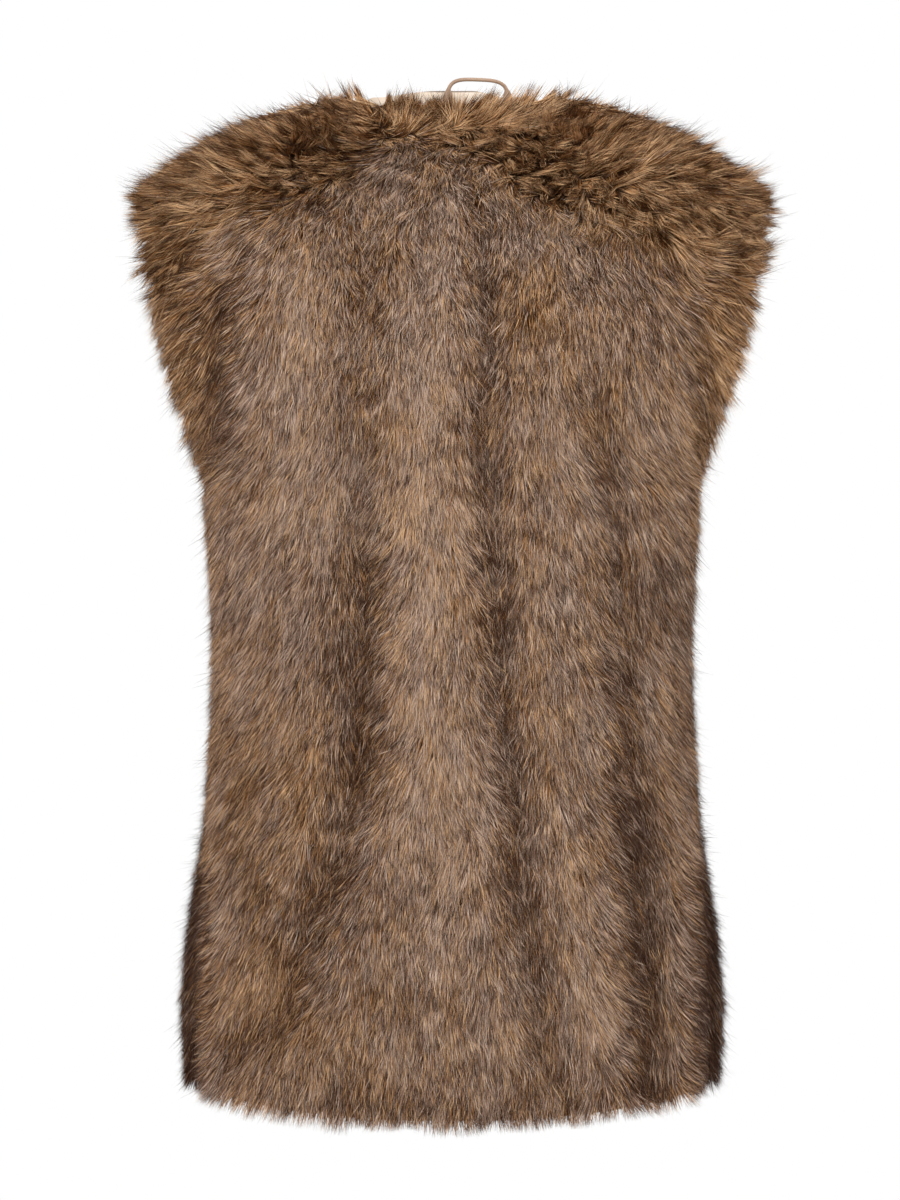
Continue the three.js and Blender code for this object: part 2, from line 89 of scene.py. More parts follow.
# Dark and light bands of the back: x and z of each end, half width and strength. The dark bands are partly
# the fur's own darker stripes and partly painted shade: in the troughs and the armhole creases, down the
# sides where the back turns away, and between the yoke's tufts.
BACK_DARK_AND_SHADE = [
    (20, -95, 24, -330, 15, 0.6),
    (24, -330, 40, -510, 16, 0.95),
    (40, -510, 46, -575, 17, 0.85),
    (46, -575, 68, -690, 18, 0.6),
    (-59, -133, -59, -344, 17, 0.4),
    (-59, -344, -59, -466, 22, 1.1),
    (-59, -466, -86, -575, 20, 1.0),
    (-86, -575, -110, -649, 20, 0.65),
    (-110, -649, -154, -682, 18, 0.7),
    (97, -222, 111, -330, 14, 0.5),
    (111, -330, 117, -507, 16, 0.7),
    (117, -507, 131, -697, 20, 1.4),
    (152, -330, 164, -520, 14, 0.35),
    (164, -165, 170, -268, 11, 0.8),
    (-152, -160, -158, -250, 17, 1.1),
    (-182, -125, -174, -190, 18, 0.9),
    (-132, -500, -132, -610, 30, 0.2),
    (-176, -200, -178, -290, 15, 0.8),
    # painted shade: the lower sides of the back, where it turns away
    (170, -560, 172, -700, 14, 1.7),
    (-170, -560, -174, -700, 10, 1.6),
    (-60, -722, 90, -722, 30, 0.55),
    (185, -128, 176, -150, 10, 0.9),
    # the yoke's dark spots: dark tips, and painted shadow between the tufts
    (-85, -60, -62, -66, 13, 0.8),
    (6, -72, 14, -100, 10, 0.7),
    (-141, -57, -120, -62, 11, 0.6),
    (-110, -48, -104, -56, 8, 0.9),
    (-112, -92, -86, -97, 8, 0.9),
    (-22, -40, -17, -58, 8, 0.8),
    (-46, -34, 6, -37, 9, 0.7),
    (70, -70, 78, -74, 7, 0.9),
    (56, -90, 61, -92, 6, 0.8),
]
BACK_LIGHT = [
    (-90, -36, -45, -42, 20, 0.7),
    (38, -36, 125, -52, 20, 1.15),
    (-18, -167, -22, -520, 23, 1.6),
    (-103, -113, -103, -303, 20, 1.2),
    (70, -249, 72, -439, 16, 0.6),
    (134, -256, 140, -317, 16, 0.6),
    (94, -541, 98, -643, 18, 0.6),
    (-4, -541, -8, -710, 24, 0.8),
    (-72, -20, -58, -24, 9, 1.0),
    (-128, -44, -112, -56, 10, 1.0),
    (-128, -70, -121, -75, 9, 0.9),
    (-165, -92, -150, -106, 11, 0.8),
    (-62, -78, -54, -93, 9, 0.8),
    (88, -84, 98, -112, 11, 0.7),
]

# Golden places of the back, written as the bands are
BACK_GOLD = [
    (-128, -470, -118, -650, 44, 0.3),
    (60, -160, 100, -240, 24, 0.25),
]


def lerp(a, b, t):
    """The value that lies the share t of the way from a to b."""
    return a + (b - a) * t


def smooth(value, low, high):
    """Zero below low, one above high, and 3t^2 - 2t^3 between."""
    t = np.clip((value - low) / (high - low), 0, 1)
    return t * t * (3 - 2 * t)


def unit(vectors):
    """Each vector divided by its length."""
    return vectors / np.linalg.norm(vectors, axis=-1, keepdims=True)


def bezier(a, b, c, d, t):
    """The cubic Bezier curve from a to d with handles b and c, at the share t."""
    u = 1 - t
    return u**3 * a + 3 * u**2 * t * b + 3 * u * t**2 * c + t**3 * d


def end_handle(depth, width, turn):
    """The handle of a ring's end: depth by the sine and width by the cosine of its turn make its length."""
    turn = np.radians(turn)
    length = FULLNESS * depth * np.sin(turn) + EDGE_FULLNESS * width * np.cos(turn)
    return length * np.cos(turn), length * np.sin(turn)


def back_rings(s):
    """The back's rings at the shares s: a Bezier in plan, lowered by the dip times cos^2 of s."""
    r = RINGS
    along, deep = end_handle(r["back_edge"] - r["back"], r["edge"], r["turn"])
    t = np.abs(s)
    x = np.sign(s) * bezier(0, FULLNESS * r["edge"], r["edge"] - along, r["edge"], t)
    y = bezier(r["back"], r["back"], r["back_edge"] - deep, r["back_edge"], t)
    z = r["z"] - r["dip"] * np.cos(t * np.pi / 2) ** 2
    return np.stack([x, y, z], -1)


def shoulder_seam(w):
    """The shoulder seam at the shares w from the neck: a straight line raised by a parabola."""
    z = lerp(NECK_Z, TIP_Z, w) + 4 * SHOULDER_ARCH * w * (1 - w)
    return np.stack([lerp(NECK_HALF, TIP_HALF, w), 0 * w, z], -1)


def back_neckline(angle):
    """The back neckline, half an ellipse in plan that rises to the sides by one minus the cosine."""
    z = lerp(BACK_NECK_Z, NECK_Z, 1 - np.cos(angle))
    return np.stack([NECK_HALF * np.sin(angle), -NECK_DEPTH * np.cos(angle), z], -1)


def back_top(s):
    """The top edge of the back: its neckline in the middle and a shoulder seam on each side."""
    seam = shoulder_seam(np.clip((np.abs(s) - NECK_SHARE) / (1 - NECK_SHARE), 0, 1))
    seam[:, 0] *= np.sign(s)
    neckline = back_neckline(np.clip(s / NECK_SHARE, -1, 1) * np.pi / 2)
    return np.where(np.abs(s)[:, None] < NECK_SHARE, neckline, seam)


def over_shoulder(low, high, bulge):
    """The middle of a chord, pushed out of it across the shoulder by a share of its length."""
    chord = high - low
    out = np.stack([0 * chord[:, 0], chord[:, 2] * np.sign(low[:, 1]), np.abs(chord[:, 1])], -1)
    return (low + high) / 2 + out * bulge[:, None]


def back_columns(s):
    """Twelve points of each column of the back: ten rings, one over the shoulder and one at the top."""
    rings = back_rings(s)
    top = back_top(s)
    bulge = lerp(BULGE_NECK, BULGE_TIP, smooth(np.abs(s), 0, 0.7))
    return np.concatenate([rings, [over_shoulder(rings[-1], top, bulge), top]])


# Heights of the twelve points, in millimetres of cloth along a column halfway to the side
steps = np.diff(back_columns(np.array([0.6]))[:, 0], axis=0)
KNOTS = np.concatenate([[0], np.cumsum(np.linalg.norm(steps, axis=1))])
TOP = KNOTS[-1]
UNDERARM_HEIGHT = KNOTS[UNDERARM]


def along_columns(points, height):
    """A cubic Hermite curve up each column: slopes from both neighbours, and a corner at the underarm."""
    spans = np.diff(KNOTS)
    rises = np.diff(points, axis=0) / spans[:, None, None]
    across_two = (points[2:] - points[:-2]) / (KNOTS[2:] - KNOTS[:-2])[:, None, None]
    slopes = np.concatenate([rises[:1], across_two, rises[-1:]])
    leaving, arriving = slopes[:-1].copy(), slopes[1:].copy()
    leaving[UNDERARM] = rises[UNDERARM]
    arriving[UNDERARM - 1] = rises[UNDERARM - 1]
    k = np.clip(np.searchsorted(KNOTS, height, "right") - 1, 0, len(spans) - 1)
    n = np.arange(len(height))
    span = spans[k][:, None]
    t = (height - KNOTS[k])[:, None] / span
    ends = (2 * t**3 - 3 * t**2 + 1) * points[k, n] + (3 * t**2 - 2 * t**3) * points[k + 1, n]
    return ends + span * ((t**3 - 2 * t**2 + t) * leaving[k, n] + (t**3 - t**2) * arriving[k, n])


def near_lines(x, z, lines):
    """For each line, its strength times exp(-d^2), and d to its right or left, in half widths of it."""
    felt = []
    aside = []
    for x0, z0, x1, z1, width, strength in lines:
        dx, dz = x1 - x0, z1 - z0
        share = np.clip(((x - x0) * dx + (z - z0) * dz) / (dx * dx + dz * dz), 0, 1)
        off_x, off_z = x - x0 - share * dx, z - z0 - share * dz
        away = np.hypot(off_x, off_z) / width
        felt.append(strength * np.exp(-away**2))
        aside.append(np.sign(off_x) * away)
    return np.array(felt), np.array(aside)


class Panel:
    """A fur panel's cloth as a surface over the share s of its width and the height along it."""

    def __init__(self, columns, first, sideness, shift, troughs, dark, pale, gold):
        self.columns = columns
        self.first, self.last = first, 1
        self.sideness = sideness
        self.shift = shift
        self.troughs, self.dark, self.pale, self.gold = troughs, dark, pale, gold
        self.is_front = first == 0

    def at(self, s, height):
        """The cloth's point: the column's curve, pressed in by the deepest trough, less near the sides."""
        point = along_columns(self.columns(s), height)
        pressed = near_lines(point[:, 0], point[:, 2], self.troughs)[0].max(0)
        pressed = pressed * (1 - self.sideness(s) ** TROUGH_FADE)
        point[:, 1] += self.shift - np.sign(point[:, 1]) * pressed
        return point

    def lie(self, s, height):
        """The point, its outward, across and down directions, and the area that s and height span."""
        low, high = np.maximum(s - 0.004, self.first), np.minimum(s + 0.004, self.last)
        below, above = np.maximum(height - 1, 0), np.minimum(height + 1, TOP)
        along_s = (self.at(high, height) - self.at(low, height)) / (high - low)[:, None]
        along_h = (self.at(s, above) - self.at(s, below)) / (above - below)[:, None]
        normal = np.cross(along_s, along_h)
        out, down = unit(normal), -unit(along_h)
        return self.at(s, height), out, np.cross(out, down), down, np.linalg.norm(normal, axis=1)


back = Panel(back_columns, -1, np.abs, -SEAM_GAP / 2, BACK_TROUGHS, BACK_DARK_AND_SHADE, BACK_LIGHT, BACK_GOLD)

HALF_WIDTH = 205  # of the back's cloth, from its middle to a side edge
UNDERCOAT = 2.4  # thickness of the cloth and its short undercoat
UNDERCOAT_ROUNDING = 7  # distance from an edge within which it thins


def wall_points(panel, columns, rows):
    """The wall's outer and inner sheet on a grid: the cloth, and the cloth raised by the undercoat."""
    s, height = np.meshgrid(
        np.linspace(panel.first, panel.last, columns), np.linspace(0, TOP, rows), indexing="ij"
    )
    point, out, *_ = panel.lie(s.ravel(), height.ravel())
    side = np.minimum(s - panel.first, panel.last - s).ravel() * HALF_WIDTH
    edge = np.minimum(side, np.minimum(height, TOP - height).ravel())
    thick = UNDERCOAT * lerp(0.3, 1, np.sqrt(np.clip(edge / UNDERCOAT_ROUNDING, 0, 1)))
    cloth_map = np.stack([s.ravel() * HALF_WIDTH, height.ravel()], -1) * MM
    return np.concatenate([point + out * thick[:, None], point]), np.tile(cloth_map, (2, 1))


def wall_faces(columns, rows):
    """Quads of the outer sheet, of the inner one turned round, and of the rim between their borders."""
    ids = np.arange(2 * columns * rows).reshape(2, columns, rows)
    quads = np.stack([ids[:, :-1, :-1], ids[:, 1:, :-1], ids[:, 1:, 1:], ids[:, :-1, 1:]], -1)
    outer, inner = quads[0].reshape(-1, 4), quads[1].reshape(-1, 4)[:, ::-1]
    border = np.concatenate(
        [ids[:, :-1, 0], ids[:, -1, :-1], ids[:, :0:-1, -1], ids[:, 0, :0:-1]], axis=1
    )
    ahead = np.roll(border, -1, axis=1)
    rim = np.stack([ahead[0], border[0], border[1], ahead[1]], -1)
    return np.concatenate([outer, rim, inner]), len(inner)


def new_piece(name, points, faces, materials, uv, uv_name):
    """A mesh object from points in millimetres, rows of point numbers, and each point's place on a map."""
    mesh = bpy.data.meshes.new(name)
    mesh.vertices.add(len(points))
    mesh.vertices.foreach_set("co", (points * MM).astype(np.float32).ravel())
    mesh.loops.add(faces.size)
    mesh.loops.foreach_set("vertex_index", faces.astype(np.int32).ravel())
    mesh.polygons.add(len(faces))
    mesh.polygons.foreach_set("loop_start", np.arange(0, faces.size, faces.shape[1], dtype=np.int32))
    layer = mesh.uv_layers.new(name=uv_name)
    layer.uv.foreach_set("vector", uv[faces.ravel()].astype(np.float32).ravel())
    mesh.update(calc_edges=True)
    mesh.validate()
    for material in materials:
        mesh.materials.append(material)
    piece = bpy.data.objects.new(name, mesh)
    bpy.context.scene.collection.objects.link(piece)
    return piece


class Value:
    """A socket that sums can be written with. Each operator adds the Math node that it names."""

    def __init__(self, finish, socket):
        self.finish = finish
        self.socket = socket

    def math(self, operation, first, second=0.0):
        return self.finish.node("ShaderNodeMath", {0: first, 1: second}, operation=operation)

    def __add__(self, other):
        return self.math("ADD", self, other)

    def __radd__(self, other):
        return self.math("ADD", other, self)

    def __sub__(self, other):
        return self.math("SUBTRACT", self, other)

    def __rsub__(self, other):
        return self.math("SUBTRACT", other, self)

    def __mul__(self, other):
        return self.math("MULTIPLY", self, other)

    def __rmul__(self, other):
        return self.math("MULTIPLY", other, self)

    def __gt__(self, other):
        return self.math("GREATER_THAN", self, other)

    def sine(self):
        return self.math("SINE", self)


class Finish:
    """A material made of nodes. node() adds one: its kind, what its sockets get, and its settings."""

    def __init__(self, name):
        self.material = bpy.data.materials.new(name)
        self.material.use_nodes = True
        self.tree = self.material.node_tree
        self.tree.nodes.clear()

    def node(self, kind, sockets, output=0, stops=None, **settings):
        made = self.tree.nodes.new(kind)
        for key, value in settings.items():
            setattr(made, key, value)
        if stops:
            made.color_ramp.elements.remove(made.color_ramp.elements[1])
            made.color_ramp.elements[0].position = stops[0][0]
            made.color_ramp.elements[0].color = stops[0][1]
            for place, colour in stops[1:]:
                made.color_ramp.elements.new(place).color = colour
        for key, value in sockets.items():
            if isinstance(value, Value):
                self.tree.links.new(value.socket, made.inputs[key])
            else:
                made.inputs[key].default_value = value
        return Value(self, made.outputs[output]) if made.outputs else None

    def mix(self, first, second, share):
        """The colour that lies the share of the way from the first to the second."""
        return self.node("ShaderNodeMix", {0: share, 6: first, 7: second}, output=2, data_type="RGBA")

    def step(self, value, low, high):
        """A smooth step from 0 at low to 1 at high."""
        sockets = {"Value": value, "From Min": low, "From Max": high}
        return self.node("ShaderNodeMapRange", sockets, interpolation_type="SMOOTHSTEP")

    def map_axes(self, uv_name):
        """The two axes of one of the piece's own maps."""
        place = self.node("ShaderNodeUVMap", {}, uv_map=uv_name)
        return [self.node("ShaderNodeSeparateXYZ", {0: place}, output=axis) for axis in (0, 1)]

    def grain(self, scale, detail=3.0, stretch=(1, 1, 1)):
        """Noise of that scale on the piece's own coordinates, in metres, stretched along the axes."""
        place = self.node("ShaderNodeTexCoord", {}, output=3)
        place = self.node("ShaderNodeMapping", {"Vector": place, "Scale": stretch})
        return self.node("ShaderNodeTexNoise", {"Vector": place, "Scale": scale, "Detail": detail})

    def bump(self, height, strength, distance):
        sockets = {"Height": height, "Strength": strength, "Distance": distance}
        return self.node("ShaderNodeBump", sockets)

    def surface(self, sockets):
        """Ends the material with a Principled shader that gets these sockets."""
        shader = self.node("ShaderNodeBsdfPrincipled", sockets)
        self.node("ShaderNodeOutputMaterial", {"Surface": shader})
        return self.material


def tone(red, green, blue):
    """A screen colour of 0 to 255 as the linear colour that a socket takes."""
    shares = [value / 255 for value in (red, green, blue)]
    return (*(s / 12.92 if s <= 0.04045 else ((s + 0.055) / 1.055) ** 2.4 for s in shares), 1.0)


def undercoat_shade_finish():
    """Short dense wool, mottled and deeply pitted, coloured dark brown as painted shade deep in the pile
    between the hairs.
    """
    finish = Finish("undercoat")
    tufts = finish.grain(420, stretch=(1, 1, 0.5))
    # painted shade: dark browns for the shade deep in the fur, whose own undercoat is golden tan
    colour = finish.mix(tone(44, 28, 17), tone(83, 59, 42), finish.step(tufts, 0.35, 0.7))
    return finish.surface({
        "Base Color": colour, "Roughness": 0.95, "Specular IOR Level": 0.1,
        "Normal": finish.bump(tufts, 1.0, 0.0015),
    })


STITCH_WIDE, STITCH_TALL = 0.0016, 0.0012  # of the knitted backing, in metres


def backing_finish():
    """Knitted backing cloth: rows and columns of small stitches on the cloth's own map, in metres."""
    finish = Finish("knitted_backing")
    across, up = finish.map_axes("cloth")
    columns = (across * (2 * math.pi / STITCH_WIDE)).sine() * 0.5
    rows = (up * (2 * math.pi / STITCH_TALL)).sine() * 0.5
    stitches = columns + rows
    wear = finish.grain(14)
    colour = finish.mix(tone(96, 77, 61), tone(126, 103, 84), finish.step(wear, 0.35, 0.65))
    # painted shade: darker in the hollows between the stitches
    colour = finish.mix(colour, tone(74, 58, 46), finish.step(stitches, 0.6, -0.8) * 0.35)
    return finish.surface({
        "Base Color": colour, "Roughness": 0.85, "Specular IOR Level": 0.2,
        "Normal": finish.bump(stitches, 0.5, 0.0004),
    })


undercoat = undercoat_shade_finish()
backing = backing_finish()


def make_wall(name, panel, columns, rows, mirrored=False):
    """The panel's wall as one piece: undercoat on the outside and rim, knitted backing inside."""
    points, cloth_map = wall_points(panel, columns, rows)
    faces, inner_count = wall_faces(columns, rows)
    if mirrored:
        points[:, 0] *= -1
        faces = faces[:, ::-1]
    wall = new_piece(name, points, faces, [undercoat, backing], cloth_map, "cloth")
    slots = np.zeros(len(faces), np.int32)
    slots[-inner_count:] = 1
    wall.data.polygons.foreach_set("material_index", slots)
    wall.data.shade_smooth()
    wall.data.set_sharp_from_angle(angle=math.radians(50))
    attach(wall, "root")
    return wall


back_wall = make_wall("back_cloth", back, 61, 71)
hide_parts("back")

# The pile of the back: long acrylic hairs knitted into the cloth, tan under mauve-brown guard hairs.
# On the body it is short and combed down into the darker bands. On the shoulders it is longer and
# golden, and lies outwards in locks. Each hair is a straight sliver that tapers to its tip.
BODY_HAIR = {"wide": 0.5, "lock": (4.5, 8)}
SHOULDER_HAIR = {"wide": 0.6, "lock": (5.5, 6.5)}
ROOT_DEPTH = 2  # height above the cloth at which a hair starts
NECK_PARTING = -20  # where the hairs along the neckline part to either side
HEM_START = 3  # the lowest roots, above the hem
STREW_STEPS = (0.7548776662466927, 0.5698402909980532)  # 1/g and 1/g^2 of the plastic number g
HANG = 9  # how far hairs reach past a free edge
OPENING_HANG = 6  # and past the edge of the front opening
ARMHOLE_HANG = 0.4  # share of the hang that is left at the underarm
NECK_REACH = (2, 13)  # past the neckline: at the parting, and how much more beside it
NECK_TUFT = {"x": -65, "half": 9, "reach": 6}
WISP = (1.3, 3.2)  # a few hairs that cling together: across and along
WISP_PULL = 0.3
CROSSING_TURN = (125, 25)  # how far the crossing hairs of the seam turn, and their spread

# The lower border of the golden shoulder fur: its height at each x
BORDER_X = (-200, -165, -150, -110, -78, -50, 0, 25, 60, 110, 160, 200)
BORDER_Z = (-150, -122, -106, -100, -78, -50, -52, -74, -98, -112, -128, -152)


def patches(x, z, size, seed):
    """Smooth random patches from -1 to 1: random numbers on a square grid, blended by smooth steps."""
    drawn = np.random.default_rng(seed).uniform(-1, 1, (64, 64))
    i, j = np.floor(x / size).astype(int), np.floor(z / size).astype(int)
    u, v = smooth(x / size - i, 0, 1), smooth(z / size - j, 0, 1)
    near = lerp(drawn[i % 64, j % 64], drawn[(i + 1) % 64, j % 64], u)
    far = lerp(drawn[i % 64, (j + 1) % 64], drawn[(i + 1) % 64, (j + 1) % 64], u)
    return lerp(near, far, v)


def gather(across, up, wide, tall, seed):
    """The lock of each hair, the nearest of one jittered centre per cell: the way there and three draws."""
    drawn = np.random.default_rng(seed).uniform(0, 1, (97, 89, 5))
    place = np.stack([across / wide, up / tall], -1)
    cell = np.floor(place).astype(int)
    nearest = np.full(len(place), np.inf)
    way = np.zeros_like(place)
    draws = np.zeros((len(place), 3))
    for step in np.ndindex(3, 3):
        there = cell + np.array(step) - 1
        found = drawn[there[:, 0] % 97, there[:, 1] % 89]
        towards = there + found[:, :2] - place
        far = (towards**2).sum(-1)
        closer = far < nearest
        nearest = np.where(closer, far, nearest)
        way = np.where(closer[:, None], towards, way)
        draws = np.where(closer[:, None], found[:, 2:], draws)
    return way * (wide, tall), draws


def strew(panel, count, low, high, start):
    """Evenly strewn places: a sequence of the plastic number's powers, kept in proportion to the area."""
    n = np.arange(start, start + 2 * count)
    s = lerp(panel.first, panel.last, (n * STREW_STEPS[0]) % 1)
    height = lerp(low, high, (n * STREW_STEPS[1]) % 1)
    area = panel.lie(s, height)[4]
    kept = np.random.default_rng(start).uniform(0, 1, len(n)) < area / np.quantile(area, 0.99)
    return s[kept][:count], height[kept][:count]


def hair_tips(lie, turn, lean, length):
    """The tips: each hair leans from the normal, and its lean is turned from down towards across."""
    root, out, across, down = lie
    lean, turn = np.radians(lean)[:, None], np.radians(turn)[:, None]
    along = np.cos(lean) * out + np.sin(lean) * (np.cos(turn) * down + np.sin(turn) * across)
    return root + along * length[:, None]


def neck_reach(x):
    """How far the hairs reach past the back neckline: least at the parting, most in a tuft at the left."""
    sides = smooth(np.abs(x - NECK_PARTING), 26, 34)
    tuft = NECK_TUFT["reach"] * np.exp(-((x - NECK_TUFT["x"]) / NECK_TUFT["half"]) ** 2)
    return NECK_REACH[0] + NECK_REACH[1] * sides + tuft


def trimmed(panel, tip, lie, s, height, hang):
    """Hairs that would reach further past a free edge than the hang are shortened."""
    root, _, across, down = lie
    way = tip - root
    past_last, past_hem = (way * across).sum(-1), (way * down).sum(-1)
    armhole = lerp(ARMHOLE_HANG * hang, hang, smooth(height, UNDERARM_HEIGHT, UNDERARM_HEIGHT + 45))
    armhole = np.where(height > UNDERARM_HEIGHT, armhole, np.inf)
    last = hang * OPENING_HANG / HANG if panel.is_front else armhole
    at_neck = (np.abs(s) < NECK_SHARE) & (not panel.is_front)
    top = np.where(at_neck, neck_reach(root[:, 0]) * hang / HANG, np.inf)
    shares = [
        ((s - panel.first) * HALF_WIDTH + armhole) / np.maximum(-past_last, 1),
        ((panel.last - s) * HALF_WIDTH + last) / np.maximum(past_last, 1),
        (height + hang) / np.maximum(past_hem, 1),
        (TOP - height + top) / np.maximum(-past_hem, 1),
    ]
    return root + way * np.clip(np.min(shares, axis=0), 0.3, 1)[:, None]


def hair_points(root, tip, out, roll, wide):
    """Two points at each root, half a width to either side, and the tip."""
    ahead = unit(tip - root)
    flat = unit(np.cross(out, ahead))
    roll = np.radians(roll)[:, None]
    half = (flat * np.cos(roll) + np.cross(ahead, flat) * np.sin(roll)) * (wide / 2)[:, None]
    return np.stack([root + half, root - half, tip], 1).reshape(-1, 3)


def hair_map(shade, guard):
    """The hairs' map: the shade across, and up it root to tip, guard hairs in the upper half."""
    u = lerp(0.01, 0.99, shade)[:, None] + np.array([0.002, -0.002, 0])
    v = (guard[:, None] + np.array([0.02, 0.02, 0.98])) / 2
    return np.stack([u, v], -1).reshape(-1, 2)


def fur_finish():
    """Acrylic hair. Its palette runs from light gold through dark brown to light tan across the map."""
    finish = Finish("faux_fur")
    shade, up = finish.map_axes("OFBake")
    guard = up > 0.5
    along = up * 2 - guard
    own = finish.node("ShaderNodeValToRGB", {0: shade}, stops=[
        (0.0, tone(220, 181, 138)),
        (0.17, tone(180, 131, 83)),
        (0.34, tone(128, 82, 41)),
        (0.5, tone(58, 32, 15)),
        (0.66, tone(107, 79, 63)),
        (0.83, tone(166, 135, 117)),
        (1.0, tone(210, 185, 165)),
    ])
    # darker towards the root: partly the hairs' own darker base, partly painted shade deep in the pile
    root = finish.mix(own, tone(60, 37, 20), 0.5)
    colour = finish.mix(root, own, finish.step(along, 0.05, 0.35))
    tips = finish.step(along, 0.58, 0.8) * guard
    tip_colour = finish.mix(tone(52, 26, 8), tone(54, 34, 24), shade > 0.5)
    colour = finish.mix(colour, tip_colour, tips * 0.95)
    return finish.surface({
        "Base Color": colour, "Roughness": 0.5, "Specular IOR Level": 0.12,
    })


fur = fur_finish()


def shoulder_zone(x, z):
    """One above the border of the golden fur, which random patches move by up to 10 mm, and zero below."""
    border = np.interp(x, BORDER_X, BORDER_Z) + 10 * patches(x, z, 24, 5)
    return smooth(z - border, -13, 9)


def outward_turn(x, z):
    """Degrees by which the nap turns outwards: strongest along the shoulder, less down the armhole."""
    on_top = smooth(z, -130, -70) * smooth(np.abs(x), 70, 140)
    beside = smooth(np.abs(x), 110, 190) * smooth(z, -330, -150)
    return np.sign(x) * lerp(48 * beside, 70, on_top)


def line_pull(x, z, lines):
    """Degrees by which the nap leans into the nearest dark band, mostly from its inner side."""
    felt, aside = near_lines(x, z, lines)
    inner = aside * np.sign([[line[0]] for line in lines]) < 0
    pull = felt * aside * np.where(inner, 1, 0.25)
    nearest = felt.argmax(0)[None]
    return -np.take_along_axis(pull, nearest, 0)[0] / 0.43 * 26


def combing(panel, point, s, height):
    """How a panel's fur is combed, gathered and coloured at each place, by its zones and bands."""
    x, z = point[:, 0], point[:, 2]
    shoulder = shoulder_zone(x, z)
    armhole = smooth(np.abs(x), 135, 185) * smooth(z, -340, -240)
    gold = np.maximum(shoulder, armhole * 0.9)
    # dark holds the fur's darker stripes together with the painted shade of the troughs, creases and sides
    dark = near_lines(x, z, panel.dark)[0].max(0)
    pale = near_lines(x, z, panel.pale)[0].max(0)
    golden = near_lines(x, z, panel.gold)[0].max(0)
    neck = 0 * s
    ridge = smooth(height, TOP - 50, TOP - 12) * smooth(np.abs(x), 74, 110)
    crown = shoulder * (1 - smooth(np.abs(x), 80, 140)) * (1 - panel.is_front)
    turn = outward_turn(x, z) + line_pull(x, z, panel.dark) * (1 - shoulder) + 9 * x / HALF_WIDTH
    settled = 1 - 0.7 * smooth(height, TOP - 90, TOP - 25) * smooth(np.abs(x), 74, 120)
    turn = turn + patches(x, z, 34, 11) * lerp(8, 50 * settled, shoulder)
    turn = turn + patches(x, z, 13, 17) * lerp(6, 42 * settled, shoulder)
    if not panel.is_front:
        neck = smooth(height, TOP - 40, TOP - 10) * smooth(NECK_SHARE - np.abs(s), -0.02, 0.04)
        aside = smooth(np.abs(x - NECK_PARTING), 24, 34)
        ruffled = 180 + lerp(230, 60, smooth(height, TOP - 16, TOP - 6)) * patches(x, z, 11, 12)
        upright = np.where(x < NECK_PARTING, -155, 140) + 30 * patches(x, z, 12, 19)
        turn = lerp(turn, lerp(ruffled, upright, aside), neck)
    # the dark bands lower the hairs' lightness: the fur's own stripes and painted shade
    light = 0.635 - 0.5 * dark + 0.24 * pale
    light = light + 0.1 * patches(x, z, 22, 13) + 0.07 * patches(x, z, 60, 14)
    light = light + lerp(0.17, 0.34, shoulder) * patches(x, z * lerp(0.6, 1, shoulder), 10, 18)
    return {
        "turn": -turn if panel.is_front else turn,
        "mess": lerp(16, 55 * settled, shoulder),
        "scatter": lerp(11, 6, shoulder),
        "lean": lerp(65, 55, shoulder) + 29 * ridge - 4 * crown,
        "lift": lerp(10, 36, shoulder) * (1 - 0.6 * ridge),
        "clump": (lerp(0.15, 0.85, gold) * (1 - 0.5 * neck) * (1 - 0.5 * crown))[:, None],
        "length": lerp(lerp(17, 22, armhole), 25, shoulder) * (1 - 0.25 * crown - 0.42 * ridge),
        "crossing": 0.3 * smooth(height, TOP - 14, TOP - 2) * ridge,
        "stray": lerp(0.015, 0.06, shoulder) + 0.07 * ridge,
        "guard": lerp(0.36, 0.5, shoulder) + 0.2 * dark,
        "light": light,
        "patchy": lerp(0.24, 0.95, gold),
        "gold": lerp(0.33 + golden + 0.25 * patches(x, z * 0.45, 11, 16), 0.98, gold),
    }


